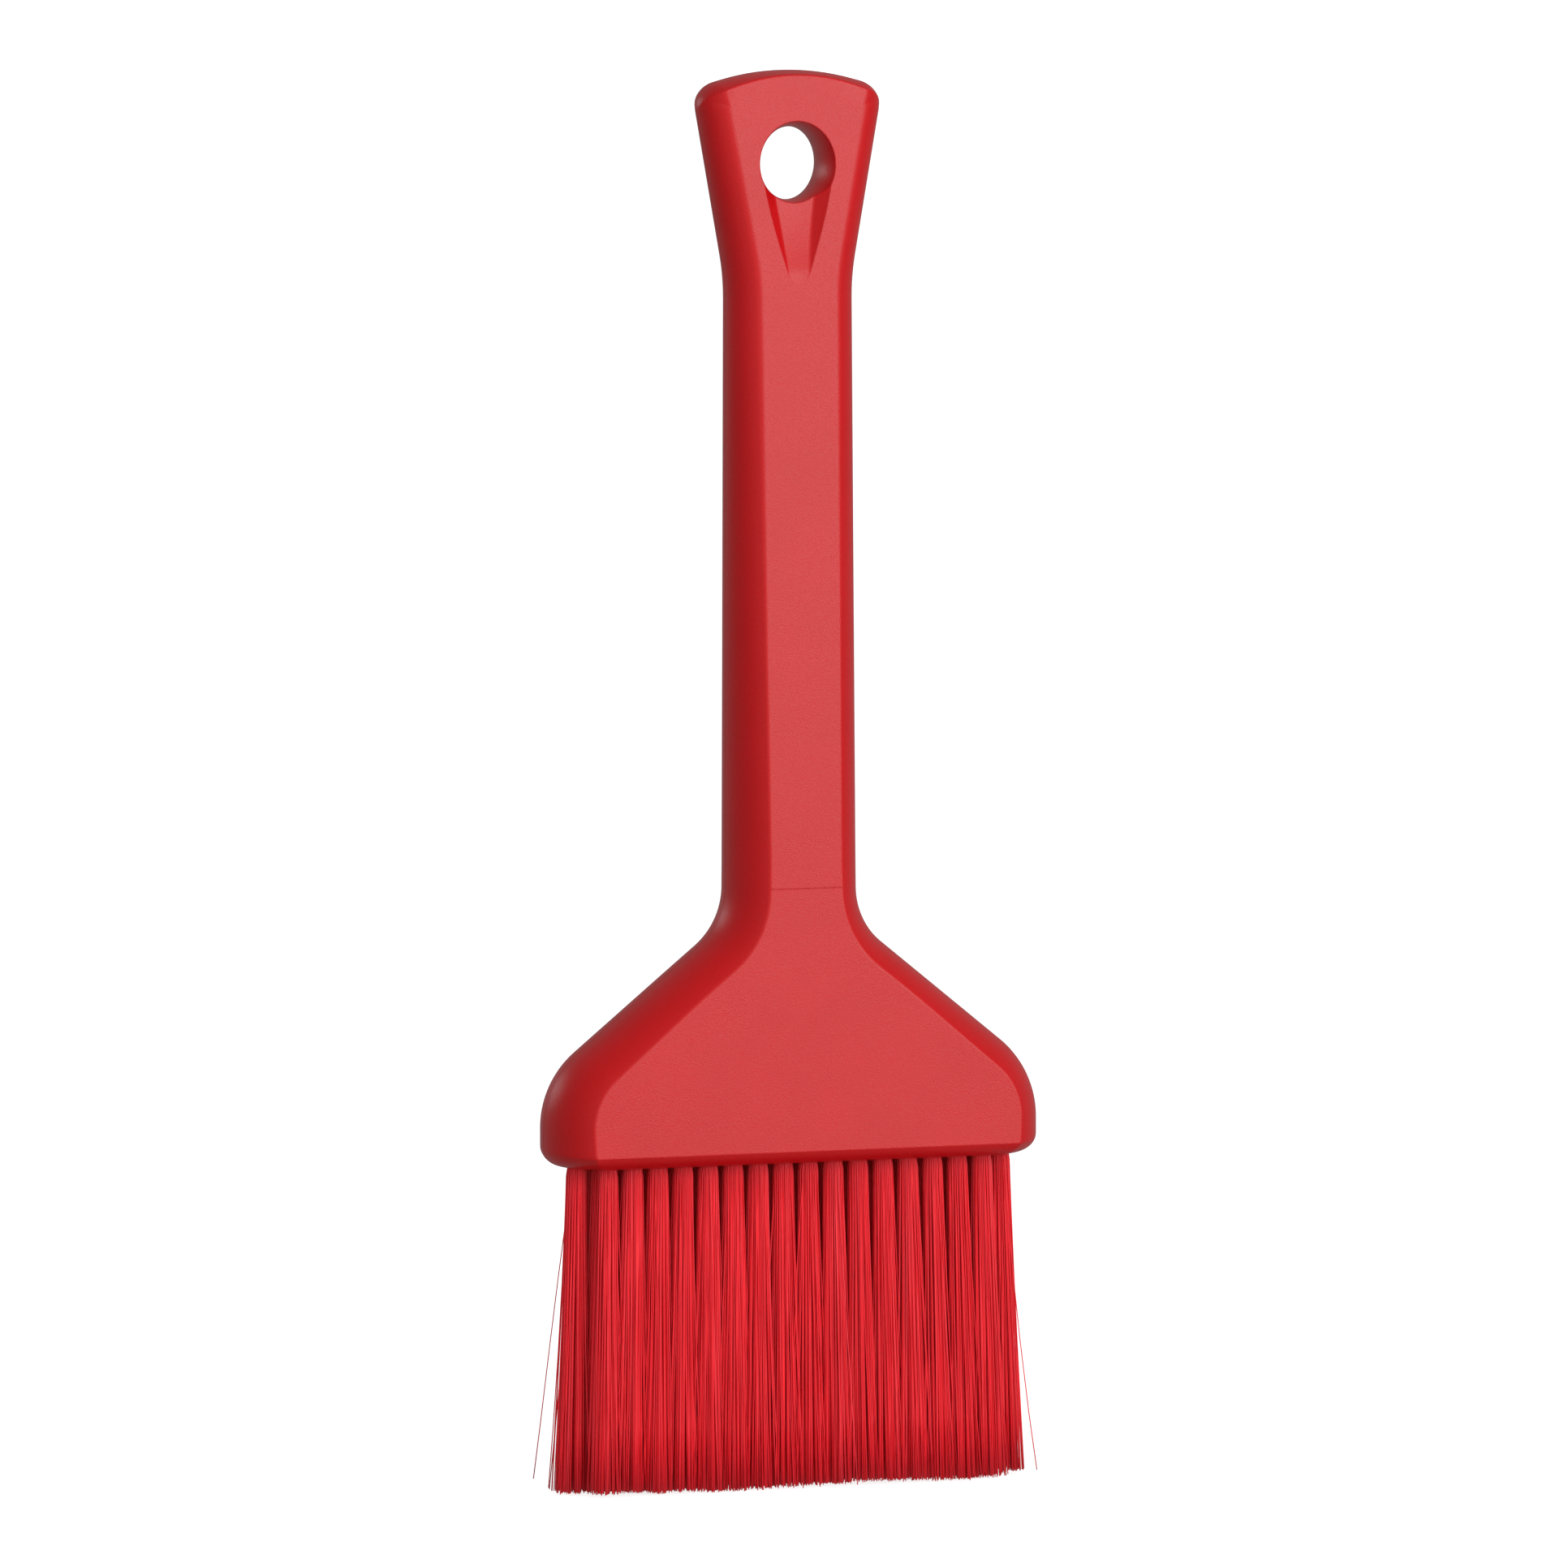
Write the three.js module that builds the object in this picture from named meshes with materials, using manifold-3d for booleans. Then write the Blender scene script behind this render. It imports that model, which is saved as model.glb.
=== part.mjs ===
// A pastry brush: handle and block in one moulding, and three rows of filament tufts in blind holes.
// Millimetres. Z runs up the handle, X across the block and Y through its thickness.
// The origin lies under the middle of the block, on the plane of the bristle tips.
import * as THREE from "three";
import { mergeVertices } from "three/addons/utils/BufferGeometryUtils.js";
import Module from "manifold-3d";

const wasm = await Module();
wasm.setup();

// Overall sizes
const LENGTH = 204;
const BRISTLE_LENGTH = 47.5;
const BLOCK_WIDTH = 73.7;
const NECK_WIDTH = 19.2;
const HANDLE_WIDTH = 18.7; // where the flare begins
const END_WIDTH = 28.2; // between the flare's side lines, where the end's corners would be sharp

// Thickness: both faces are flat and lean towards each other, up the handle
const BLOCK_THICKNESS = 20.3;
const END_THICKNESS = 9.3;

// Front outline: the heights of its corners, and the radii that round them
const SHOULDER_FOOT = 59.5;
const NECK = 81.8;
const FLARE_FOOT = 174.5;
const SHOULDER_RADIUS = 14.5;
const NECK_RADIUS = 10.5;
const FLARE_RADIUS = 35;
const END_CORNER_RADIUS = 3.8;
const CROWN_RADIUS = 36;
const CROWN_ANGLE = THREE.MathUtils.degToRad(15); // slope of the crown's tangents at its ends
const CHORD_ERROR = 0.04;

// Rounded sides: [height, width], from a flat face's edge out to the widest line of the side
const SIDE_WIDTHS = [
  [BRISTLE_LENGTH, 5],
  [SHOULDER_FOOT, 4.4],
  [NECK, 4],
  [FLARE_FOOT, 3.5],
  [LENGTH, 3.2],
];
const CROWN_EDGE = 0.6; // the same width across the crown, in its middle
const CROWN_EDGE_GROWTH = 0.005; // and how it grows with the square of the distance from the middle
const SIDE_SEGMENTS = 6; // from the widest line to a flat face

// Foot of the block: arcs that meet the ends and the flat faces at a crease
const FOOT_CORNER = { radius: 2.8, crease: THREE.MathUtils.degToRad(12) };
const FOOT_BAND = { radius: 4, crease: THREE.MathUtils.degToRad(30) };
const FOOT_SEGMENTS = 5;
const FOOT_CLEAR = 6; // the height above the foot where nothing of the block is left to trim
const OVERRUN = 10; // the blank runs on past the foot by this much

// Hanging hole, narrowest at half thickness, and the groove that runs down from it on both faces
const HOLE_HEIGHT = 190.7;
const HOLE_WAIST = 10.4; // tall
const HOLE_MOUTH = 12.3; // tall, at the faces
const HOLE_OVALITY = 0.92; // width over height
const HOLE_FLARE = 2.2; // power of the curve that opens it to the faces
const HOLE_SIDES = 28;
const HOLE_RINGS = 5; // from half thickness to a face
const GROOVE_FOOT = 175.2;
const GROOVE_TOP = 188.7; // inside the hole
const GROOVE_DEPTH = 1.8; // at its top
const GROOVE_FOOT_HALF = 1.65; // half the floor's width
const GROOVE_TOP_HALF = 3.4;
const GROOVE_TAPER = 1.3; // power of the curve between the two
const GROOVE_START = -0.06; // the cutter starts this share of the length below the foot
const GROOVE_REACH = 3; // and stands this far out of its floor, its walls at 45 degrees
const GROOVE_SEGMENTS = 10;

// Tufts and their holes
const ROWS = [
  { name: "front", count: 16, y: -3.1 },
  { name: "middle", count: 18, y: 0 },
  { name: "back", count: 16, y: 3.1 },
];
const TUFT_PITCH = 3.76;
const SPREAD_ALONG = 0.035; // a tuft's tip stands this share further out than its root, along X
const SPREAD_ACROSS = 0.16; // and this share further out along Y
const TUFT_SIDES = 8;
const HOLE_DEPTH = 10;
const HOLE_RADIUS = 1.35;
const ROOT_RADIUS = 1.2; // in the hole
const FREE_RADIUS = 1.45; // where the filaments have opened out, just below the block
const TIP_RADIUS = 1.7;
const FREE_DROP = 2;
const CLEARANCE = 0.3;

const PLASTIC = { color: 0xc8242c, roughness: 0.42, metalness: 0 };
const FILAMENT = { color: 0xc01830, roughness: 0.5, metalness: 0 };

// ---- joining and cutting ----

function asSolid(points, triangles) {
  return new wasm.Manifold(
    new wasm.Mesh({ numProp: 3, vertProperties: points, triVerts: new Uint32Array(triangles) }),
  );
}

function toSolid(geometry) {
  const bare = geometry.clone();
  bare.deleteAttribute("normal");
  bare.deleteAttribute("uv");
  const merged = mergeVertices(bare, 1e-4);
  return asSolid(merged.attributes.position.array, merged.index.array);
}

function toGeometry(solid) {
  const mesh = solid.getMesh();
  const geometry = new THREE.BufferGeometry();
  geometry.setAttribute("position", new THREE.BufferAttribute(mesh.vertProperties, 3));
  geometry.setIndex(new THREE.BufferAttribute(mesh.triVerts, 1));
  geometry.computeVertexNormals();
  return geometry;
}

// A solid through matching rings of points, which run anticlockwise as seen from beyond the last one.
function loft(rings, flatten) {
  const count = rings[0].length;
  const sides = rings.slice(1).flatMap((_, j) =>
    rings[0].flatMap((_, i) => {
      const [a, b] = [j * count + i, j * count + ((i + 1) % count)];
      return [a, b, b + count, a, b + count, a + count];
    }),
  );
  const cap = THREE.ShapeUtils.triangulateShape(rings.at(-1).map(flatten), []).flat();
  const last = cap.map((i) => (rings.length - 1) * count + i);
  const points = rings.flat().flatMap((point) => point.toArray());
  return asSolid(new Float32Array(points), [...sides, ...last, ...cap.toReversed()]);
}

// ---- outlines ----

// The arc that rounds a corner between the directions to its two neighbours, and its outward normals.
function cornerArc(corner, toBefore, toAfter, radius) {
  const half = Math.acos(toBefore.dot(toAfter)) / 2;
  const bend = Math.sign(toAfter.cross(toBefore));
  const turn = (Math.PI - 2 * half) * bend;
  const start = corner.clone().addScaledVector(toBefore, radius / Math.tan(half));
  const bisector = toBefore.clone().add(toAfter).normalize();
  const centre = corner.clone().addScaledVector(bisector, radius / Math.sin(half));
  const step = 2 * Math.acos(1 - CHORD_ERROR / radius);
  const steps = Math.ceil(Math.abs(turn) / step);
  return Array.from({ length: steps + 1 }, (_, k) => {
    const point = start.clone().rotateAround(centre, (turn * k) / steps);
    return { point, normal: point.clone().sub(centre).multiplyScalar(bend / radius) };
  });
}

// A closed outline through anticlockwise corners [x, z, radius], each rounded by its radius.
function roundedOutline(corners) {
  const points = corners.map(([x, z]) => new THREE.Vector2(x, z));
  return corners.flatMap(([, , radius], i) => {
    const toBefore = points.at(i - 1).clone().sub(points[i]).normalize();
    const toAfter = points[(i + 1) % points.length].clone().sub(points[i]).normalize();
    return cornerArc(points[i], toBefore, toAfter, radius);
  });
}

const crownCorner = LENGTH + CROWN_RADIUS * (1 / Math.cos(CROWN_ANGLE) - 1);
const endCorner = crownCorner - (END_WIDTH / 2) * Math.tan(CROWN_ANGLE);

// The front outline: its right half runs upwards, and the left half mirrors it.
function frontOutline() {
  const right = [
    [BLOCK_WIDTH / 2, BRISTLE_LENGTH - OVERRUN, OVERRUN - 1],
    [BLOCK_WIDTH / 2, SHOULDER_FOOT, SHOULDER_RADIUS],
    [NECK_WIDTH / 2, NECK, NECK_RADIUS],
    [HANDLE_WIDTH / 2, FLARE_FOOT, FLARE_RADIUS],
    [END_WIDTH / 2, endCorner, END_CORNER_RADIUS],
  ];
  const left = right.map(([x, z, radius]) => [-x, z, radius]).reverse();
  return roundedOutline([...right, [0, crownCorner, CROWN_RADIUS], ...left]);
}

// ---- the moulding ----

function halfThickness(z) {
  const share = (z - BRISTLE_LENGTH) / (LENGTH - BRISTLE_LENGTH);
  return THREE.MathUtils.lerp(BLOCK_THICKNESS, END_THICKNESS, share) / 2;
}

function sideWidth(z) {
  const above = SIDE_WIDTHS.findIndex(([height]) => height > z);
  if (above < 1) return SIDE_WIDTHS.at(above)[1];
  const [[low, before], [high, after]] = SIDE_WIDTHS.slice(above - 1, above + 1);
  return THREE.MathUtils.mapLinear(z, low, high, before, after);
}

// How far an arc that takes that width up to a flat face stands inside the outline, at a depth.
function arcInset(width, half, depth) {
  const radius = (half ** 2 + width ** 2) / (2 * width);
  return radius - Math.sqrt(radius ** 2 - depth ** 2);
}

// Half of a rounded side as an arc: [inset, depth] from the widest line to a flat face's edge.
function sideArc(width, half) {
  const radius = (half ** 2 + width ** 2) / (2 * width);
  const whole = Math.asin(half / radius);
  return Array.from({ length: SIDE_SEGMENTS + 1 }, (_, k) => {
    const angle = (whole * k) / SIDE_SEGMENTS;
    return [radius * (1 - Math.cos(angle)), radius * Math.sin(angle)];
  });
}

// The side's inset near the crown: at each depth the side runs straight on round its end corner,
// until it meets the crown's narrow edge.
function insetAtEnd({ point, normal }, half, [inset, depth]) {
  if (point.y < endCorner - 2 * END_CORNER_RADIUS) return inset;
  const side = new THREE.Vector2(endCorner - FLARE_FOOT, (HANDLE_WIDTH - END_WIDTH) / 2).normalize();
  const turned = Math.max(Math.abs(normal.x) * side.x + normal.y * side.y, 0.05);
  const straightOn = END_CORNER_RADIUS - (END_CORNER_RADIUS - inset) / turned;
  return Math.max(straightOn, arcInset(CROWN_EDGE + CROWN_EDGE_GROWTH * point.x ** 2, half, depth));
}

// The blank, from its back face to its front face.
function slab() {
  const edges = frontOutline().map((spot) => {
    const half = halfThickness(spot.point.y);
    const arc = sideArc(sideWidth(spot.point.y), half);
    return { ...spot, half, arc: arc.map((place) => [insetAtEnd(spot, half, place), place[1]]) };
  });
  const ring = (k, side) =>
    edges.map(({ point, normal, half, arc }) => {
      const [inset, depth] = arc[k];
      const { x, y: z } = point.clone().addScaledVector(normal, -inset);
      return new THREE.Vector3(x, (side * depth * halfThickness(z)) / half, z);
    });
  const steps = Array.from({ length: SIDE_SEGMENTS }, (_, k) => k + 1);
  const back = steps.toReversed().map((k) => ring(k, 1));
  const front = steps.map((k) => ring(k, -1));
  return loft([...back, ring(0, 1), ...front], ({ x, z }) => new THREE.Vector2(x, z));
}

// How far a foot arc stands in at a rise above the foot. Over its crease it runs straight outwards.
function footInset(rise, { radius, crease }) {
  const top = radius * (1 - Math.sin(crease));
  if (rise > top) return (top - rise) * Math.tan(crease);
  return radius * (Math.cos(crease) - Math.sqrt(1 - (1 - rise / radius) ** 2));
}

// A cushion of level sections that trims the blank to the block's rounded foot.
function footTrim() {
  const half = halfThickness(BRISTLE_LENGTH);
  const arc = sideArc(sideWidth(BRISTLE_LENGTH), half);
  const section = (rise) => {
    const reach = BLOCK_WIDTH / 2 - footInset(rise, FOOT_CORNER);
    const flatness = (halfThickness(BRISTLE_LENGTH + rise) - footInset(rise, FOOT_BAND)) / half;
    const backHalf = arc.map(([inset, depth]) => [reach - inset, depth * flatness]);
    const frontHalf = backHalf.slice(1).map(([x, y]) => [x, -y]);
    const right = [...frontHalf.reverse(), ...backHalf];
    return [...right, ...right.map(([x, y]) => [-x, -y])];
  };
  const bandAngles = Array.from({ length: FOOT_SEGMENTS + 1 }, (_, k) =>
    THREE.MathUtils.lerp(Math.PI / 2, FOOT_BAND.crease, k / FOOT_SEGMENTS),
  );
  const rises = bandAngles.map((angle) => FOOT_BAND.radius * (1 - Math.sin(angle)));
  const cornerTop = FOOT_CORNER.radius * (1 - Math.sin(FOOT_CORNER.crease));
  const levels = [...rises, cornerTop, FOOT_CLEAR].map((rise) => [rise, section(rise)]);
  levels.push([LENGTH, section(FOOT_CLEAR)]);
  const rings = levels.map(([rise, points]) =>
    points.map(([x, y]) => new THREE.Vector3(x, y, BRISTLE_LENGTH + rise)),
  );
  return loft(rings, ({ x, y }) => new THREE.Vector2(x, y));
}

// Its profile runs through the thickness, and opens out in a curve to each face and on past it.
function hangingHole() {
  const [waist, mouth, face] = [HOLE_WAIST / 2, HOLE_MOUTH / 2, halfThickness(HOLE_HEIGHT)];
  const upper = Array.from({ length: HOLE_RINGS + 2 }, (_, k) => {
    const share = k / HOLE_RINGS;
    return new THREE.Vector2(waist + (mouth - waist) * share ** HOLE_FLARE, share * face);
  });
  const lower = upper.slice(1).map(({ x, y }) => new THREE.Vector2(x, -y));
  const profile = [...lower.reverse(), ...upper];
  const ends = [new THREE.Vector2(0, profile[0].y), new THREE.Vector2(0, profile.at(-1).y)];
  const geometry = new THREE.LatheGeometry([ends[0], ...profile, ends[1]], HOLE_SIDES);
  geometry.scale(HOLE_OVALITY, 1, 1);
  return toSolid(geometry.translate(0, 0, HOLE_HEIGHT));
}

// Cuts the front face: a floor that sinks from the face at its foot and widens, between sloping walls.
function groove() {
  const rings = Array.from({ length: GROOVE_SEGMENTS + 1 }, (_, k) => {
    const share = THREE.MathUtils.lerp(GROOVE_START, 1, k / GROOVE_SEGMENTS);
    const z = THREE.MathUtils.lerp(GROOVE_FOOT, GROOVE_TOP, share);
    const floor = GROOVE_DEPTH * share * (2 - share) - halfThickness(z);
    const widening = Math.max(0, share) ** GROOVE_TAPER;
    const half = THREE.MathUtils.lerp(GROOVE_FOOT_HALF, GROOVE_TOP_HALF, widening);
    return [
      new THREE.Vector3(half, floor, z),
      new THREE.Vector3(-half, floor, z),
      new THREE.Vector3(-half - GROOVE_REACH, floor - GROOVE_REACH, z),
      new THREE.Vector3(half + GROOVE_REACH, floor - GROOVE_REACH, z),
    ];
  });
  return loft(rings, ({ x, y }) => new THREE.Vector2(x, y));
}

// ---- tufts ----

// Leans a tuft or its hole, whose own height is zero at the block's foot, outwards to its tip.
function leanOutwards(geometry, x, y) {
  const along = (-SPREAD_ALONG * x) / BRISTLE_LENGTH;
  const across = (-SPREAD_ACROSS * y) / BRISTLE_LENGTH;
  const shear = new THREE.Matrix4().makeShear(0, 0, 0, 0, along, across);
  return geometry.applyMatrix4(shear);
}

// A round solid through points [radius, height], from the lowest to the highest.
function turned(profile) {
  const points = profile.map(([radius, z]) => new THREE.Vector2(radius, z));
  return new THREE.LatheGeometry(points, TUFT_SIDES, Math.PI / TUFT_SIDES).rotateX(Math.PI / 2);
}

function tuftHole(x, y) {
  const profile = [
    [0, -HOLE_DEPTH],
    [HOLE_RADIUS, -HOLE_DEPTH],
    [HOLE_RADIUS, HOLE_DEPTH],
    [0, HOLE_DEPTH],
  ];
  return toSolid(leanOutwards(turned(profile), x, y).translate(x, y, BRISTLE_LENGTH));
}

function tuft(name, x, y) {
  const profile = [
    [0, -BRISTLE_LENGTH],
    [TIP_RADIUS, -BRISTLE_LENGTH],
    [FREE_RADIUS, -FREE_DROP],
    [ROOT_RADIUS, -CLEARANCE],
    [ROOT_RADIUS, HOLE_DEPTH - CLEARANCE],
    [0, HOLE_DEPTH - CLEARANCE],
  ];
  const geometry = leanOutwards(turned(profile), x, y);
  const mesh = new THREE.Mesh(geometry, new THREE.MeshStandardMaterial(FILAMENT));
  mesh.name = name;
  mesh.position.set(x, y, BRISTLE_LENGTH);
  return mesh;
}

function tuftPlaces() {
  return ROWS.flatMap((row) =>
    Array.from({ length: row.count }, (_, i) => ({
      name: `tuft_${row.name}_${String(i + 1).padStart(2, "0")}`,
      x: (i - (row.count - 1) / 2) * TUFT_PITCH,
      y: row.y,
    })),
  );
}

// ---- the brush ----

function handleBlock(places) {
  const frontGroove = groove();
  const cuts = [hangingHole(), frontGroove, frontGroove.mirror([0, 1, 0])];
  const holes = places.map(({ x, y }) => tuftHole(x, y));
  const solid = [...cuts, ...holes].reduce((rest, cut) => rest.subtract(cut), slab().intersect(footTrim()));
  const mesh = new THREE.Mesh(toGeometry(solid), new THREE.MeshStandardMaterial(PLASTIC));
  mesh.name = "handle_block";
  return mesh;
}

const places = tuftPlaces();
const brush = new THREE.Group();
brush.name = "pastry_brush";
brush.add(handleBlock(places), ...places.map(({ name, x, y }) => tuft(name, x, y)));

export default brush;
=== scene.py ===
"""A red pastry brush: one satin moulding, three rows of filament tufts, and a wire anchor in each hole.

Lengths are millimetres until a mesh is made, and metres for the camera and the lights. Z runs up the
handle, X across the block, Y through it.
"""

import math

import bmesh
import bpy
import numpy as np
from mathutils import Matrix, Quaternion, Vector

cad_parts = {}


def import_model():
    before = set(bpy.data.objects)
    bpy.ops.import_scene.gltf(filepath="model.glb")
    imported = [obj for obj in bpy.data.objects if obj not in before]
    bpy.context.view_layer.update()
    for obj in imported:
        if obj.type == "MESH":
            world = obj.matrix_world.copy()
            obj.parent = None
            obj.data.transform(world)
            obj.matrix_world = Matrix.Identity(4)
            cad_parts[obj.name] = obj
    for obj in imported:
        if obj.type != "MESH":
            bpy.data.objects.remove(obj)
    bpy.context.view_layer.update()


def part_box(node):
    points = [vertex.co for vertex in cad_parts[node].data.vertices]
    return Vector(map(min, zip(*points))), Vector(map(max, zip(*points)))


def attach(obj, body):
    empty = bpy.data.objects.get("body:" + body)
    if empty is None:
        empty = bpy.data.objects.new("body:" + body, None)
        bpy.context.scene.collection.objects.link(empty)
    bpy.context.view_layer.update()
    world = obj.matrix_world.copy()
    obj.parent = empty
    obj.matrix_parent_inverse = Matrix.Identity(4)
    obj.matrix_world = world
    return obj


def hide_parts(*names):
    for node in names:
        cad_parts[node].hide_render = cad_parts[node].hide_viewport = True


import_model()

MM = 0.001
BLOCK_LOW, BLOCK_HIGH = (np.array(corner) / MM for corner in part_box("handle_block"))

# The moulding's outline
FOOT = BLOCK_LOW[2]
CROWN = BLOCK_HIGH[2]
BLOCK_WIDTH = BLOCK_HIGH[0] - BLOCK_LOW[0]
NECK_WIDTH = 19.2
HANDLE_WIDTH = 18.7  # where the flare begins
END_WIDTH = 28.2
SHOULDER_FOOT = 59.5
NECK = 81.8
FLARE_FOOT = 174.5
FOOT_CORNER_RADIUS = 2.8
SHOULDER_RADIUS = 14.5
NECK_RADIUS = 10.5
FLARE_RADIUS = 35
END_CORNER_RADIUS = 3.8
CROWN_RADIUS = 36
CROWN_ANGLE = math.radians(15)  # slope of the crown's tangents at its ends
CROWN_CORNER = CROWN + CROWN_RADIUS * (1 / math.cos(CROWN_ANGLE) - 1)  # where those tangents cross
END_CORNER = CROWN_CORNER - END_WIDTH / 2 * math.tan(CROWN_ANGLE)
FLARE_LEAN = math.atan2((END_WIDTH - HANDLE_WIDTH) / 2, END_CORNER - FLARE_FOOT)
OUTLINE_STEP = math.radians(2)
OVERRUN = 10  # the slab runs on past its foot, where it is cut off

# Its thickness and its rounded sides, whose widths and softness go with the height
BLOCK_THICKNESS = 20.3
END_THICKNESS = 9.3
SIDE_WIDTH = ((FOOT, 5.0), (62, 4.3), (75, 3.8), (91, 4.2), (164, 3.5), (CROWN, 3.2))
CREASE_RADIUS = ((FOOT, 0.6), (120, 0.8), (164, 1.8), (CROWN, 2.6))
CROWN_EDGE = 0.6  # the side's width across the crown, in its middle
CROWN_EDGE_GROWTH = 0.005  # and how it grows with the square of the distance from the middle
CROWN_CREASE = 0.35
CORNER_POWER = 2  # the lower, the rounder the ridge where a side meets the crown
LEAST_TURN = 0.05  # keeps a side's run towards the crown finite
CREASE_RINGS = 7
SIDE_RINGS = 12
FOOT_BAND = 2.0  # height of the foot's rounded band on the flat faces
FOOT_CREASE = math.radians(30)
PARTING_DEPTH = 0.05
PARTING_WIDTH = 0.16

# Hanging hole and groove
HOLE_HEIGHT = 190.7
HOLE_WAIST = 5.2
HOLE_MOUTH = 6.15
HOLE_OVALITY = 0.92
HOLE_FLARE = 2.2  # power of the curve that opens it to the faces
HOLE_REACH = 1.5  # its cutter's length over the thickness
GROOVE_FOOT = 175.2
GROOVE_TOP = 188.7
GROOVE_DEPTH = 1.8
GROOVE_FOOT_HALF = 1.65  # half the floor's width
GROOVE_TOP_HALF = 3.4
GROOVE_TAPER = 1.3
GROOVE_START = -0.12  # its cutter starts this share of the length below the foot
GROOVE_START_HALF = 0.5
GROOVE_FADE = 0.2  # depth over which the floor flows out of the face
GROOVE_REACH = 3  # how far its cutter stands out of its floor, its walls at 45 degrees
GROOVE_FILLET = 0.6
WITNESS_HEIGHT = 87.2
WITNESS_DEPTH = 0.06
FLAT_MATCH = 0.999995  # cosine of the angle at which a mesh face still counts as a flat face

# Tufts
ROWS = {"front": (16, -3.1), "middle": (18, 0.0), "back": (16, 3.1)}
TUFT_PITCH = 3.76
SPREAD_ALONG = 0.035
SPREAD_ACROSS = 0.16
TUFT_HOLE_RADIUS = 1.35
TUFT_HOLE_DEPTH = 10
PACKED_RADIUS = 1.22
FILAMENT = 0.15
FILAMENT_PITCH = 0.157
FILAMENT_ROW_PITCH = 0.87  # over the pitch, as in close packing
PACKING_SLACK = 0.004
ANCHOR_TOP = 7.2
ANCHOR_HEIGHT = 1.5
ANCHOR_LENGTH = 2.5
ANCHOR_THICKNESS = 0.3
ANCHOR_CORNER = 0.35
ANCHOR_EDGE = 0.1
ANCHOR_CLEARANCE = 0.02

# How a tuft's legs open out and stray below the block
LEG_DROPS = np.array((-ANCHOR_TOP, 0.0, 1.5, 4.0, 9.0, 17.0, 27.0, 38.0))  # where each has a ring
FOLD_ANGLES = np.radians((45, 90, 135))
MOUTH_DROP = 1.5  # filaments spring open over this drop
MOUTH_OPENING = 0.16  # and stand apart by this share more
TIP_OPENING = 0.85  # the further share that is reached at the tip
OPENING_POWER = 1.25
DRIFT = 0.42  # at the tip
DRIFT_POWER = 1.2
BOW = 0.1  # at half height
WILD_SHARE = 0.04  # the share of filaments that drift and bow further
WILDNESS = 2.6  # and how many times as far
END_TUFTS = 27  # tufts further out than this drift less to the outside
END_DRIFT = 0.4
SIDE_MARGIN = 0.3  # between the furthest filaments and the block's widest lines
TIP_MARGIN = 0.01

# Where the tips are cut
CUT_HEIGHT = 0.22
CUT_WAVE = 0.16
CUT_WAVE_STRETCH = 5.3  # to a radian
CUT_RISE = 0.3  # at the right end
CUT_REACH = 35
TUFT_CUT = 0.25  # one leg's cut varies by this
FILAMENT_CUT = 0.3

# Single filaments that have strayed from their tufts: the leg's side, its tip, and how late it bends.
# Strays of one leg stand this many filaments apart.
STRAY_STEP = 5
STRAYS = {
    "middle_01": [(1, (-36.0, 9.0, 1.2), 0.85), (1, (-34.9, 4.6, 0.2), 1.4), (1, (-34.6, 4.3, 0.1), 1.4)],
    "middle_18": [(-1, (36.2, -4.6, 1.0), 1.5)],
}

# View, in metres
VIEW_AZIMUTH = math.radians(-17.5)
VIEW_DISTANCE = 1.646
EYE_HEIGHT = 0.246
AIM_HEIGHT = 0.1015
AIM_SHIFT = -0.00062
LENS = 264
ROLL = math.radians(-0.12)

# The room's light
ROOM_BEHIND = 0.28
ROOM_FRONT = 1.25
ROOM_FULL = 0.95  # cosine of the angle from the front within which it is brightest

SEED = 7


# ---- meshes ----


def add_mesh(name, points, faces):
    """A new object from points in millimetres."""
    mesh = bpy.data.meshes.new(name)
    mesh.from_pydata((np.asarray(points) * MM).tolist(), [], faces)
    obj = bpy.data.objects.new(name, mesh)
    bpy.context.scene.collection.objects.link(obj)
    return obj


def between(pairs, at):
    """Values at the given places, in straight steps between pairs of place and value."""
    places, values = zip(*pairs)
    return np.interp(at, places, values)


def half_thickness(z):
    share = (z - FOOT) / (CROWN - FOOT)
    return (BLOCK_THICKNESS + (END_THICKNESS - BLOCK_THICKNESS) * share) / 2


def rounded_outline(corners, step, longest=4.0):
    """Points and outward normals round anticlockwise corners (x, z, radius)."""
    spots = [np.array(corner[:2], float) for corner in corners]
    points, normals = [], []
    for i, (_, _, radius) in enumerate(corners):
        before = spots[i - 1] - spots[i]
        after = spots[(i + 1) % len(spots)] - spots[i]
        before, after = before / np.linalg.norm(before), after / np.linalg.norm(after)
        half = math.acos(before @ after) / 2
        turn = math.copysign(math.pi - 2 * half, after[0] * before[1] - after[1] * before[0])
        bisector = (before + after) / np.linalg.norm(before + after)
        centre = spots[i] + bisector * radius / math.sin(half)
        start = spots[i] + before * radius / math.tan(half) - centre
        steps = math.ceil(abs(turn) / step)
        for k in range(steps + 1):
            c, s = math.cos(turn * k / steps), math.sin(turn * k / steps)
            arm = np.array((start[0] * c - start[1] * s, start[0] * s + start[1] * c))
            points.append(centre + arm)
            normals.append(arm / radius * math.copysign(1, turn))
    return straights_divided(points, normals, longest)


def straights_divided(points, normals, longest):
    """Adds evenly spaced points wherever two neighbours stand more than the longest step apart."""
    out_points, out_normals = [], []
    for i, (point, normal) in enumerate(zip(points, normals)):
        after, normal_after = points[(i + 1) % len(points)], normals[(i + 1) % len(points)]
        pieces = max(1, math.ceil(np.linalg.norm(after - point) / longest))
        for k in range(pieces):
            out_points.append(point + (after - point) * k / pieces)
            mixed = normal + (normal_after - normal) * k / pieces
            out_normals.append(mixed / np.linalg.norm(mixed))
    return np.array(out_points), np.array(out_normals)


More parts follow.
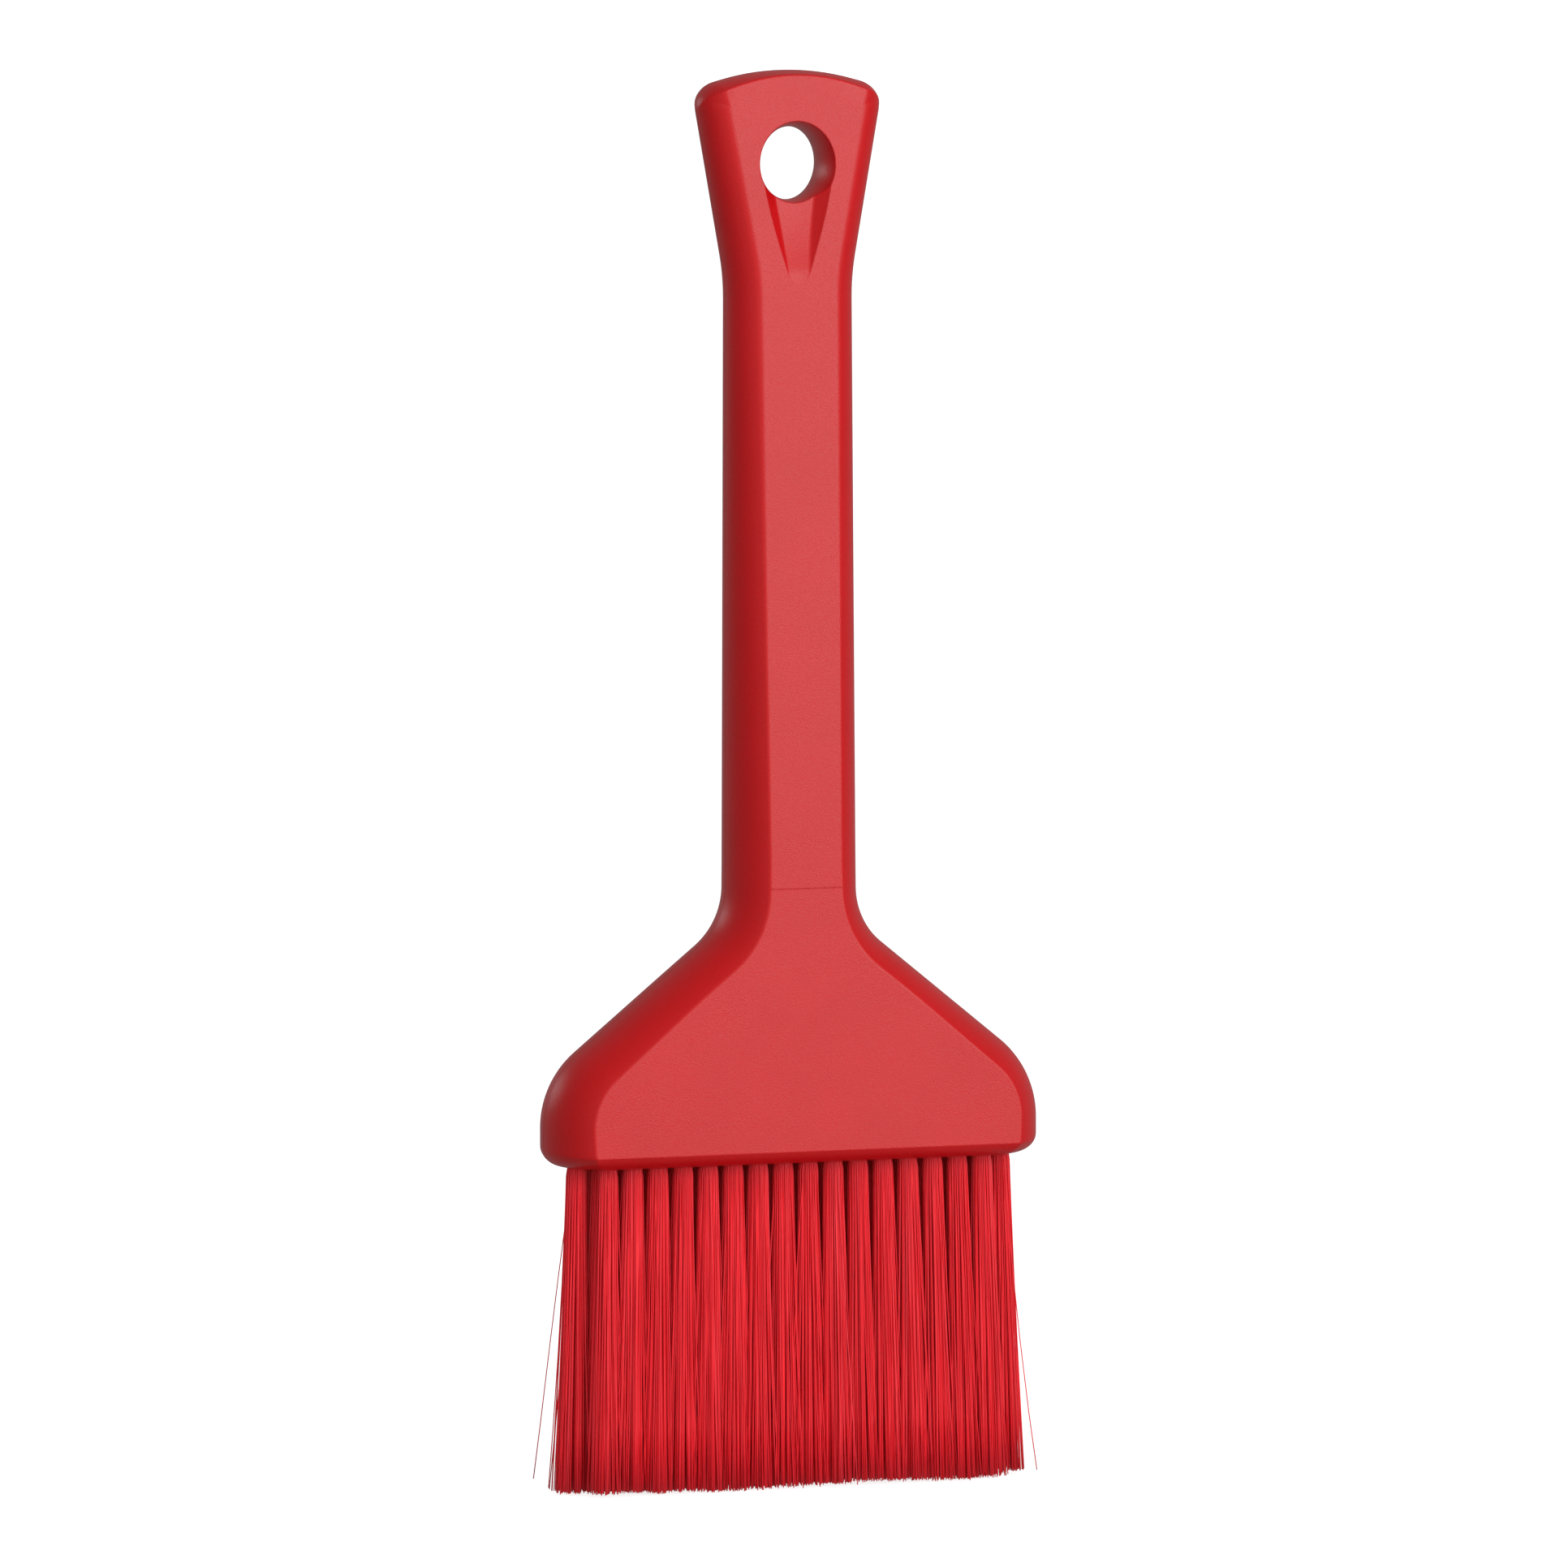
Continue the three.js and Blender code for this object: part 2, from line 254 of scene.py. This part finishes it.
def loft(name, outline, insets, depths):
    """Closed plate: ring j stands insets[j] inside the outline and at depths[j] along Y, front to back."""
    points, normals = outline
    count = len(points)
    rings = []
    for inset, depth in zip(insets, depths):
        flat = points - normals * np.reshape(inset, (-1, 1))
        rings.append(np.column_stack((flat[:, 0], np.broadcast_to(depth, count), flat[:, 1])))
    faces = []
    for j in range(len(rings) - 1):
        for i in range(count):
            k = (i + 1) % count
            faces.append((j * count + i, j * count + k, (j + 1) * count + k, (j + 1) * count + i))
    last = (len(rings) - 1) * count
    faces += [tuple(range(count))[::-1], tuple(range(last, last + count))]
    return add_mesh(name, np.concatenate(rings), [face[::-1] for face in faces])


# ---- the moulding ----


def front_outline():
    """The right half upwards, the crown, and the left half; below the block it runs straight on."""
    right = [
        (BLOCK_WIDTH / 2, FOOT - OVERRUN, OVERRUN - 1),
        (BLOCK_WIDTH / 2, SHOULDER_FOOT, SHOULDER_RADIUS),
        (NECK_WIDTH / 2, NECK, NECK_RADIUS),
        (HANDLE_WIDTH / 2, FLARE_FOOT, FLARE_RADIUS),
        (END_WIDTH / 2, END_CORNER, END_CORNER_RADIUS),
    ]
    left = [(-x, z, radius) for x, z, radius in right[::-1]]
    return rounded_outline([*right, (0, CROWN_CORNER, CROWN_RADIUS), *left], OUTLINE_STEP)


def side_inset(across, half, width, soft):
    """How far inside the outline a rounded side stands, at a distance across from the middle plane."""
    radius = (half**2 + width**2) / (2 * width)
    centre = radius - np.sqrt((radius - soft) ** 2 - (half - soft) ** 2)
    crease = (half - soft) * radius / (radius - soft)
    on_side = radius - np.sqrt(radius**2 - np.minimum(across, crease) ** 2)
    on_crease = centre - np.sqrt(np.maximum(soft**2 - (across - half + soft) ** 2, 0))
    return np.where(across > crease, on_crease, on_side)


def inset_at_end(inset, across, half, points, normals):
    """Towards the crown the sides run straight on, round each end corner, into the crown's narrow edge."""
    turned = np.abs(normals[:, 0]) * math.cos(FLARE_LEAN) - normals[:, 1] * math.sin(FLARE_LEAN)
    straight_on = END_CORNER_RADIUS - (END_CORNER_RADIUS - inset) / np.maximum(turned, LEAST_TURN)
    crown_width = CROWN_EDGE + CROWN_EDGE_GROWTH * points[:, 0] ** 2
    crown = side_inset(across, half, crown_width, CROWN_CREASE)
    both = (np.maximum(straight_on, 0) ** CORNER_POWER + crown**CORNER_POWER) ** (1 / CORNER_POWER)
    near_end = points[:, 1] > END_CORNER - 2 * END_CORNER_RADIUS
    return np.where(near_end, np.minimum(both, inset), inset)


def slab():
    """The rounded sides: an arc from the parting line to each flat face, its crease softened."""
    points, normals = front_outline()
    height = points[:, 1]
    half = half_thickness(height)
    width, soft = between(SIDE_WIDTH, height), between(CREASE_RADIUS, height)
    radius = (half**2 + width**2) / (2 * width)
    crease = np.arccos((half - soft) / (radius - soft))
    parting = np.arccos(PARTING_WIDTH / 2 / radius)
    turns = crease * np.linspace(0, 1, CREASE_RINGS)[:, None]
    reaches = [half - soft + soft * np.cos(turn) for turn in turns]
    turns = crease + (parting - crease) * np.linspace(0, 1, SIDE_RINGS)[1:, None]
    reaches += [radius * np.cos(turn) for turn in turns]
    rings = []
    for reach in reaches:
        inset = side_inset(reach, half, width, soft)
        rings.append((inset_at_end(inset, reach, half, points, normals), reach))
    front = [(inset, -reach / half) for inset, reach in rings]
    back = [(inset, reach / half) for inset, reach in rings[::-1]]
    middle = [(np.full_like(half, PARTING_DEPTH), np.zeros_like(half))]
    insets, shares = zip(*front, *middle, *back)
    depths = [
        share * half_thickness(height - normals[:, 1] * inset)
        for inset, share in zip(insets, shares)
    ]
    return loft("handle_block_moulding", (points, normals), insets, depths)


def foot_rise(angle):
    """How far above the foot the band's arc stands, where its normal is tilted down by the angle."""
    return FOOT_BAND * (1 - math.sin(angle)) / (1 - math.sin(FOOT_CREASE))


def round_the_foot(obj):
    """Cuts the slab off at its foot, and rounds the block's ends and flat faces in towards the cut."""
    arc = FOOT_BAND / (1 - math.sin(FOOT_CREASE))
    angles = np.linspace(FOOT_CREASE, math.pi / 2, 11)
    rises = [foot_rise(angle) for angle in angles]
    rises += list(np.linspace(FOOT_BAND, FOOT_CORNER_RADIUS, 5)[1:])
    shape = bmesh.new()
    shape.from_mesh(obj.data)
    for rise in sorted(rises):
        at_foot = rise < 1e-6
        everything = [*shape.verts, *shape.edges, *shape.faces]
        cut = bmesh.ops.bisect_plane(
            shape,
            geom=everything,
            plane_co=(0, 0, (FOOT + rise) * MM),
            plane_no=(0, 0, 1),
            clear_inner=at_foot,
        )
        if at_foot:
            rim = [part for part in cut["geom_cut"] if isinstance(part, bmesh.types.BMEdge)]
            bmesh.ops.contextual_create(shape, geom=rim)
    for vertex in shape.verts:
        rise = max(0.0, vertex.co.z / MM - FOOT)
        if rise < FOOT_CORNER_RADIUS:
            inward = FOOT_CORNER_RADIUS - math.sqrt(FOOT_CORNER_RADIUS**2 - (FOOT_CORNER_RADIUS - rise) ** 2)
            vertex.co.x -= math.copysign(inward * MM, vertex.co.x)
        if rise < FOOT_BAND:
            drop = arc * (math.cos(FOOT_CREASE) - math.sqrt(1 - (1 - rise / arc) ** 2))
            vertex.co.y *= 1 - drop / half_thickness(FOOT + rise)
    shape.to_mesh(obj.data)
    shape.free()


def hanging_hole(sides=72):
    """The hole's cutter: narrowest at half thickness, opening in a curve to each face and on past it."""
    face = half_thickness(HOLE_HEIGHT)
    shares = np.linspace(0, HOLE_REACH, 19)
    radii = HOLE_WAIST + (HOLE_MOUTH - HOLE_WAIST) * shares**HOLE_FLARE
    depths = np.concatenate((-shares[:0:-1], shares)) * face
    radii = np.concatenate((radii[:0:-1], radii))
    turn = np.linspace(0, 2 * math.pi, sides, endpoint=False)
    rings = [
        np.column_stack((HOLE_OVALITY * r * np.cos(turn), np.full(sides, y), HOLE_HEIGHT + r * np.sin(turn)))
        for r, y in zip(radii, depths)
    ]
    return add_mesh("hanging_hole", np.concatenate(rings), tube_faces(len(rings), sides))


def tube_faces(rings, sides):
    """Faces of a closed tube through rings of points."""
    faces = []
    for j in range(rings - 1):
        for i in range(sides):
            k = (i + 1) % sides
            faces.append((j * sides + i, (j + 1) * sides + i, (j + 1) * sides + k, j * sides + k))
    last = (rings - 1) * sides
    return faces + [tuple(range(sides)), tuple(range(last, last + sides))[::-1]]


def groove(side, sections=48):
    """The groove's cutter: a floor that sinks from the face and widens, between walls at 45 degrees."""
    bend = np.radians(np.linspace(0, 45, 6))
    start = GROOVE_FILLET * math.tan(math.radians(22.5))
    outward = np.append(GROOVE_FILLET * np.sin(bend) - start, GROOVE_REACH)
    rise = np.append(GROOVE_FILLET * (1 - np.cos(bend)), GROOVE_REACH)
    rings = []
    shares = np.linspace(GROOVE_START, 1, sections)
    sinks = GROOVE_DEPTH * shares * (2 - shares)
    sinks = (sinks + np.hypot(sinks, GROOVE_FADE)) / 2
    for share, sink in zip(shares, sinks - sinks[0]):
        z = GROOVE_FOOT + (GROOVE_TOP - GROOVE_FOOT) * share
        floor_at = half_thickness(z) - sink
        half = GROOVE_FOOT_HALF + (GROOVE_TOP_HALF - GROOVE_FOOT_HALF) * max(0, share) ** GROOVE_TAPER
        half -= (GROOVE_FOOT_HALF - GROOVE_START_HALF) * (max(0, -share) / -GROOVE_START) ** 2
        across = np.concatenate(((half + outward)[::-1], -half - outward))
        through = side * (floor_at + np.concatenate((rise[::-1], rise)))
        rings.append(np.column_stack((across, through, np.full(len(across), z))))
    return add_mesh("groove", np.concatenate(rings), tube_faces(sections, 2 * len(rise)))


def witness_line():
    """The hair line that a mould insert leaves across the front face, above the neck."""
    face = half_thickness(WITNESS_HEIGHT)
    points = []
    for x in (-HANDLE_WIDTH, HANDLE_WIDTH):
        points += [
            (x, WITNESS_DEPTH - face, WITNESS_HEIGHT),
            (x, -face - WITNESS_DEPTH, WITNESS_HEIGHT + 2 * WITNESS_DEPTH),
            (x, -face - WITNESS_DEPTH, WITNESS_HEIGHT - 2 * WITNESS_DEPTH),
        ]
    return add_mesh("witness_line", points, [(0, 1, 2), (5, 4, 3), (0, 3, 4, 1), (1, 4, 5, 2), (2, 5, 3, 0)])


def tuft_places():
    """Each tuft's name and where it is rooted in the foot."""
    for row, (count, y) in ROWS.items():
        for i in range(count):
            yield f"{row}_{i + 1:02d}", (i - (count - 1) / 2) * TUFT_PITCH, y


def leaning(x, y, drop):
    """Where the axis of the tuft rooted at x, y stands at a drop below the block's foot."""
    share = np.asarray(drop) / FOOT
    return x * (1 + SPREAD_ALONG * share), y * (1 + SPREAD_ACROSS * share)


def tuft_holes(sides=24):
    """The cutters of all the blind holes, from under the foot to their depth."""
    turn = np.linspace(0, 2 * math.pi, sides, endpoint=False)
    points, faces = [], []
    for _, x, y in tuft_places():
        start = len(points) * sides
        for drop in (TUFT_HOLE_DEPTH / 2, -TUFT_HOLE_DEPTH):
            along, across = leaning(x, y, drop)
            ring = (along + TUFT_HOLE_RADIUS * np.cos(turn), across + TUFT_HOLE_RADIUS * np.sin(turn))
            points.append(np.column_stack((*ring, np.full(sides, FOOT - drop))))
        faces += [tuple(start + v for v in face)[::-1] for face in tube_faces(2, sides)]
    return add_mesh("tuft_holes", np.concatenate(points), faces)


def facing_out(obj):
    """Turns the mesh's faces to look outwards."""
    shape = bmesh.new()
    shape.from_mesh(obj.data)
    bmesh.ops.recalc_face_normals(shape, faces=shape.faces)
    shape.to_mesh(obj.data)
    shape.free()


def carve(target, tool):
    """Cuts the tool out of the target's mesh, and removes the tool."""
    facing_out(tool)
    step = target.modifiers.new("step", "BOOLEAN")
    step.object, step.operation, step.solver = tool, "DIFFERENCE", "EXACT"
    made = bpy.data.meshes.new_from_object(target.evaluated_get(bpy.context.evaluated_depsgraph_get()))
    target.modifiers.remove(step)
    target.data = made
    bpy.data.objects.remove(tool)


def shade(obj, sharpest=math.radians(9)):
    """Smooth but for edges over an angle and the borders of the flat faces."""
    slope = (BLOCK_THICKNESS - END_THICKNESS) / 2 / (CROWN - FOOT)
    flats = [Vector((0, side, slope)).normalized() for side in (-1, 1)]
    shape = bmesh.new()
    shape.from_mesh(obj.data)
    shape.normal_update()
    for face in shape.faces:
        face.smooth = True
        face.tag = any(face.normal.dot(flat) > FLAT_MATCH for flat in flats)
    for edge in shape.edges:
        pair = edge.link_faces
        edge.smooth = len(pair) == 2 and edge.calc_face_angle() < sharpest and pair[0].tag == pair[1].tag
    shape.to_mesh(obj.data)
    shape.free()


def moulding():
    """Handle and block in one piece, with its hole, grooves, witness line and tuft holes."""
    obj = slab()
    facing_out(obj)
    round_the_foot(obj)
    carve(obj, hanging_hole())
    carve(obj, groove(-1))
    carve(obj, groove(1))
    carve(obj, witness_line())
    carve(obj, tuft_holes())
    shade(obj)
    return obj


# ---- tufts ----


def packed_roots(rng):
    """Where filaments pass the anchor: places along it and out from it, packed in half the hole."""
    gap = ANCHOR_THICKNESS / 2 + FILAMENT / 2 + ANCHOR_CLEARANCE
    roots = []
    for row, out in enumerate(np.arange(gap, PACKED_RADIUS, FILAMENT_PITCH * FILAMENT_ROW_PITCH)):
        reach = math.sqrt(PACKED_RADIUS**2 - out**2)
        first = -reach + (row % 2) * FILAMENT_PITCH / 2
        roots += [(along, out) for along in np.arange(first, reach, FILAMENT_PITCH)]
    roots = np.array(roots)
    return roots + rng.uniform(-PACKING_SLACK, PACKING_SLACK, roots.shape)


def tip_level(x):
    """Height of the cut tips across the brush: a slight wave that rises towards the right end."""
    wave = CUT_WAVE * math.sin(x / CUT_WAVE_STRETCH)
    return CUT_HEIGHT + wave + CUT_RISE * (x / CUT_REACH) ** 2 * (x > 0)


def leg(rng, x, y, along, out):
    """Centre lines of one leg of each folded filament, from the anchor down to the tip."""
    count = len(along)
    cut = tip_level(x) + rng.uniform(0, TUFT_CUT) + np.abs(rng.normal(0, FILAMENT_CUT, count))
    drops = np.column_stack((np.tile(LEG_DROPS, (count, 1)), FOOT - cut))
    share = np.clip(drops / FOOT, 0, 1)
    opened = 1 + MOUTH_OPENING * np.clip(drops / MOUTH_DROP, 0, 1) + TIP_OPENING * share**OPENING_POWER
    wild = np.where(rng.random(count) < WILD_SHARE, WILDNESS, 1.0)[:, None]
    drift = rng.normal(0, DRIFT, (count, 2)) * wild
    if abs(x) > END_TUFTS:
        outward = drift[:, 0] * x > 0
        drift[outward, 0] *= END_DRIFT
    bow = rng.normal(0, BOW, (count, 2)) * wild
    axis_x, axis_y = leaning(x, y, drops)
    bend = np.sin(np.pi * share)
    px = axis_x + along[:, None] * opened + drift[:, :1] * share**DRIFT_POWER + bow[:, :1] * bend
    py = axis_y + out[:, None] * opened + drift[:, 1:] * share**DRIFT_POWER + bow[:, 1:] * bend
    return np.stack((px, py, FOOT - drops), axis=2)


def fold(x, y, along, out):
    """Centre lines over the anchor, from the side of plus Y to that of minus Y."""
    rise = out[:, None] * np.sin(FOLD_ANGLES)
    axis_x, axis_y = leaning(x, y, -ANCHOR_TOP - rise)
    px = axis_x + along[:, None] * np.ones_like(rise)
    py = axis_y + out[:, None] * np.cos(FOLD_ANGLES)
    return np.stack((px, py, FOOT + ANCHOR_TOP + rise), axis=2)


def tubes(lines):
    """Square tubes with closed ends along centre lines, as points and faces."""
    count, rings, _ = lines.shape
    tangent = np.gradient(lines, axis=1)
    tangent /= np.linalg.norm(tangent, axis=2, keepdims=True)
    side = np.array((1.0, 0.0, 0.0)) - tangent * tangent[:, :, :1]
    side /= np.linalg.norm(side, axis=2, keepdims=True)
    other = np.cross(tangent, side)
    corners = [side, other, -side, -other]
    points = np.stack([lines + corner * FILAMENT / 2 for corner in corners], axis=2)
    base = (np.arange(count) * rings * 4)[:, None, None]
    ring = (np.arange(rings - 1) * 4)[None, :, None]
    i = np.arange(4)[None, None, :]
    k = (i + 1) % 4
    walls = np.stack((base + ring + i, base + ring + k, base + ring + 4 + k, base + ring + 4 + i), axis=3)
    start = base[:, 0] + np.array((3, 2, 1, 0))
    end = base[:, 0] + (rings - 1) * 4 + np.arange(4)
    return points.reshape(-1, 3), np.concatenate((walls.reshape(-1, 4), start, end))


def strayed(lines, side, name):
    """Bends single legs of the named tuft out to their tips."""
    strays = [stray for stray in STRAYS.get(name, ()) if stray[0] == side]
    for index, (_, tip, lateness) in enumerate(strays):
        line = lines[-1 - STRAY_STEP * index]
        share = np.clip((FOOT - line[:, 2]) / FOOT, 0, 1) ** lateness
        line[:, :2] += (np.array(tip[:2]) - line[-1, :2]) * share[:, None]
        line[-1, 2] = tip[2]
    return lines


def tuft(name, rng, x, y):
    """Filaments folded over one anchor: up on the side of plus Y, over it, and down on the other."""
    along, out = packed_roots(rng).T
    plus = strayed(leg(rng, x, y, along, out), 1, name)[:, ::-1]
    minus = strayed(leg(rng, x, y, along, -out), -1, name)
    lines = np.concatenate((plus, fold(x, y, along, out), minus), axis=1)
    limit = BLOCK_HIGH[:2] - SIDE_MARGIN
    lines[:, :, :2] = np.clip(lines[:, :, :2], -limit, limit)
    points, faces = tubes(lines)
    points[:, 2] = np.maximum(points[:, 2], TIP_MARGIN)
    obj = add_mesh(f"filaments_{name}", points, faces.tolist())
    obj.data.polygons.foreach_set("use_smooth", np.ones(len(faces), bool))
    tone = obj.data.attributes.new("tone", "FLOAT", "POINT")
    tones = np.repeat(rng.random(len(lines)), lines.shape[1] * 4)
    tone.data.foreach_set("value", tones.astype(np.float32))
    return obj


# ---- anchors ----


def anchor(name, x, y):
    """A flat wire across the hole, its corners and edges rounded."""
    bottom = ANCHOR_TOP - ANCHOR_HEIGHT
    places = [(-1, bottom), (1, bottom), (1, ANCHOR_TOP), (-1, ANCHOR_TOP)]
    corners = [(side * ANCHOR_LENGTH / 2, z, ANCHOR_CORNER) for side, z in places]
    outline = rounded_outline(corners, math.radians(15), longest=1.0)
    half = ANCHOR_THICKNESS / 2
    insets = ANCHOR_EDGE * np.array((0.8, 0.2, 0, 0, 0.2, 0.8))
    from_face = ANCHOR_EDGE * np.array((0, 0.6, 1))
    depths = [*(from_face - half), *(half - from_face[::-1])]
    obj = loft(name, outline, insets, depths)
    facing_out(obj)
    for vertex in obj.data.vertices:
        axis_x, axis_y = leaning(x, y, -vertex.co.z / MM)
        vertex.co += Vector((axis_x, axis_y, FOOT)) * MM
    obj.data.polygons.foreach_set("use_smooth", np.ones(len(obj.data.polygons), bool))
    return obj


# ---- materials ----


class Nodes:
    """A material's node tree, with short ways to add nodes and links."""

    def __init__(self, name):
        self.material = bpy.data.materials.new(name)
        self.material.use_nodes = True
        self.tree = self.material.node_tree
        self.shader = self.tree.nodes["Principled BSDF"]

    def add(self, kind, **values):
        node = self.tree.nodes.new(kind)
        for key, value in values.items():
            if key in node.inputs:
                node.inputs[key].default_value = value
            else:
                setattr(node, key, value)
        return node

    def link(self, start, end):
        self.tree.links.new(start, end)

    def noise(self, scale, detail=2.0, stretch=(1, 1, 1)):
        place = self.add("ShaderNodeTexCoord")
        mapping = self.add("ShaderNodeMapping")
        mapping.inputs["Scale"].default_value = stretch
        noise = self.add("ShaderNodeTexNoise", Scale=scale, Detail=detail)
        self.link(place.outputs["Object"], mapping.inputs["Vector"])
        self.link(mapping.outputs["Vector"], noise.inputs["Vector"])
        return noise.outputs["Fac"]

    def ramp(self, factor, *stops):
        node = self.add("ShaderNodeValToRGB")
        while len(node.color_ramp.elements) < len(stops):
            node.color_ramp.elements.new(0.5)
        for element, (place, colour) in zip(node.color_ramp.elements, stops):
            element.position, element.color = place, (*colour, 1)
        self.link(factor, node.inputs["Fac"])
        return node.outputs["Color"]

    def set(self, **values):
        for key, value in values.items():
            self.shader.inputs[key.replace("_", " ")].default_value = value


def plastic():
    """Satin polypropylene with a fine mould grain."""
    made = Nodes("red_moulding")
    colour = made.ramp(made.noise(90, 3), (0.3, (0.545, 0.004, 0.006)), (0.7, (0.575, 0.005, 0.008)))
    made.link(colour, made.shader.inputs["Base Color"])
    edge = made.add("ShaderNodeBevel", samples=4, Radius=0.00025)
    grain = made.add("ShaderNodeBump", Strength=0.3, Distance=0.0001)
    made.link(made.noise(6500, 2), grain.inputs["Height"])
    made.link(edge.outputs["Normal"], grain.inputs["Normal"])
    made.link(grain.outputs["Normal"], made.shader.inputs["Normal"])
    made.set(Roughness=0.32, Specular_IOR_Level=0.28)
    return made.material


def filament():
    """Glossy red filament, each one its own shade."""
    made = Nodes("red_filament")
    tone = made.add("ShaderNodeAttribute", attribute_name="tone")
    colour = made.ramp(
        tone.outputs["Fac"],
        (0.0, (0.94, 0.014, 0.028)),
        (0.6, (0.97, 0.020, 0.036)),
        (1.0, (0.98, 0.04, 0.06)),
    )
    made.link(colour, made.shader.inputs["Base Color"])
    made.set(Roughness=0.4, Specular_IOR_Level=0.4)
    return made.material


def steel():
    """Drawn stainless wire, its streaks across the hole."""
    made = Nodes("anchor_steel")
    colour = made.ramp(made.noise(900, 3, (1, 1, 12)), (0.3, (0.42, 0.42, 0.43)), (0.7, (0.60, 0.60, 0.61)))
    made.link(colour, made.shader.inputs["Base Color"])
    made.set(Metallic=1.0, Roughness=0.35)
    return made.material


def pale(name, strength):
    """A plain pale surface that glows."""
    made = Nodes(name)
    colour = made.ramp(made.noise(3, 2), (0.3, (0.44, 0.44, 0.44)), (0.7, (0.46, 0.46, 0.46)))
    made.link(colour, made.shader.inputs["Base Color"])
    made.link(colour, made.shader.inputs["Emission Color"])
    made.set(Roughness=0.9, Emission_Strength=strength)
    return made.material


# ---- studio ----


def direction(azimuth, elevation):
    """Unit vector from the object towards that azimuth and elevation, in degrees, as views are named."""
    a, e = math.radians(azimuth), math.radians(elevation)
    return Vector((math.sin(a) * math.cos(e), -math.cos(a) * math.cos(e), math.sin(e)))


def lights_only_itself(obj):
    """Keeps the glow of a pale surface from lighting or showing in anything else."""
    lit = bpy.data.collections.new(f"lit_by_the_{obj.name}")
    lit.objects.link(obj)
    obj.light_linking.receiver_collection = lit
    obj.visible_glossy = False


def floor():
    """A wide pale floor at the height of the bristle tips."""
    half = 30000
    corners = [(-half, -half, 0), (half, -half, 0), (half, half, 0), (-half, half, 0)]
    obj = add_mesh("floor", corners, [(0, 1, 2, 3)])
    obj.data.materials.append(pale("pale_floor", 1.9))
    lights_only_itself(obj)


def backdrop(radius=7500, sunk=300, sides=64):
    """A pale dome that closes the far end of the floor. The room's light passes through it."""
    turn = np.linspace(0, 2 * math.pi, sides, endpoint=False)
    rings = [
        np.column_stack((
            radius * math.cos(rise) * np.cos(turn),
            radius * math.cos(rise) * np.sin(turn),
            np.full(sides, radius * math.sin(rise) - sunk),
        ))
        for rise in np.radians(np.linspace(0, 85, 18))
    ]
    obj = add_mesh("backdrop", np.concatenate(rings), tube_faces(len(rings), sides))
    obj.data.polygons.foreach_set("use_smooth", np.ones(len(obj.data.polygons), bool))
    obj.data.materials.append(pale("pale_backdrop", 2.3))
    lights_only_itself(obj)
    obj.visible_diffuse = obj.visible_shadow = obj.visible_transmission = False


def softbox(name, azimuth, elevation, distance, size, power):
    """A square light that faces the middle of the brush."""
    light = bpy.data.lights.new(name, "AREA")
    light.shape, light.size, light.energy = "SQUARE", size, power
    obj = bpy.data.objects.new(name, light)
    bpy.context.scene.collection.objects.link(obj)
    towards = direction(azimuth, elevation)
    obj.location = towards * distance + Vector((0, 0, AIM_HEIGHT))
    obj.rotation_euler = towards.to_track_quat("Z", "Y").to_euler()


def world():
    """A dim room that brightens smoothly towards the front."""
    made = bpy.data.worlds.new("studio")
    made.use_nodes = True
    tree = made.node_tree
    background = tree.nodes["Background"]
    place = tree.nodes.new("ShaderNodeTexCoord")
    towards = tree.nodes.new("ShaderNodeVectorMath")
    towards.operation = "DOT_PRODUCT"
    background.inputs["Color"].default_value = (1, 1, 1, 1)
    towards.inputs[1].default_value = direction(0, 2)
    spread = tree.nodes.new("ShaderNodeMapRange")
    spread.interpolation_type = "SMOOTHSTEP"
    spread.inputs["From Min"].default_value = 0.0
    spread.inputs["From Max"].default_value = ROOM_FULL
    spread.inputs["To Min"].default_value = ROOM_BEHIND
    spread.inputs["To Max"].default_value = ROOM_FRONT
    tree.links.new(place.outputs["Generated"], towards.inputs[0])
    tree.links.new(towards.outputs["Value"], spread.inputs["Value"])
    tree.links.new(spread.outputs["Result"], background.inputs["Strength"])
    bpy.context.scene.world = made


def camera():
    """A long lens to the left of the front, a little higher than the top of the brush."""
    data = bpy.data.cameras.new("camera")
    data.lens = LENS
    data.clip_start, data.clip_end = 0.05, 100
    obj = bpy.data.objects.new("camera", data)
    bpy.context.scene.collection.objects.link(obj)
    out = direction(math.degrees(VIEW_AZIMUTH), 0)
    right = Vector((-out.y, out.x, 0))
    obj.location = out * VIEW_DISTANCE + Vector((0, 0, EYE_HEIGHT))
    aim = right * AIM_SHIFT + Vector((0, 0, AIM_HEIGHT))
    turned = (obj.location - aim).to_track_quat("Z", "Y") @ Quaternion((0, 0, 1), ROLL)
    obj.rotation_euler = turned.to_euler()
    bpy.context.scene.camera = obj


def place(obj, material, slot_name, *nodes):
    """Gives a piece its material and body, and hides the CAD nodes that it replaces. The slot name is not
    used.
    """
    obj.data.materials.clear()
    obj.data.materials.append(material)
    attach(obj, "root")
    if nodes:
        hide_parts(*nodes)


def build():
    place(moulding(), plastic(), "moulding", "handle_block")
    red, wire = filament(), steel()
    rng = np.random.default_rng(SEED)
    for name, x, y in tuft_places():
        place(tuft(name, rng, x, y), red, "filament", f"tuft_{name}")
        place(anchor(f"anchor_{name}", x, y), wire, "anchor_wire")


build()
floor()
backdrop()
world()
softbox("key", azimuth=22, elevation=11, distance=1.3, size=0.65, power=7.5)
softbox("left_rim", azimuth=-150, elevation=12, distance=1.3, size=0.25, power=0.6)
camera()
bpy.context.scene.view_settings.view_transform = "Standard"
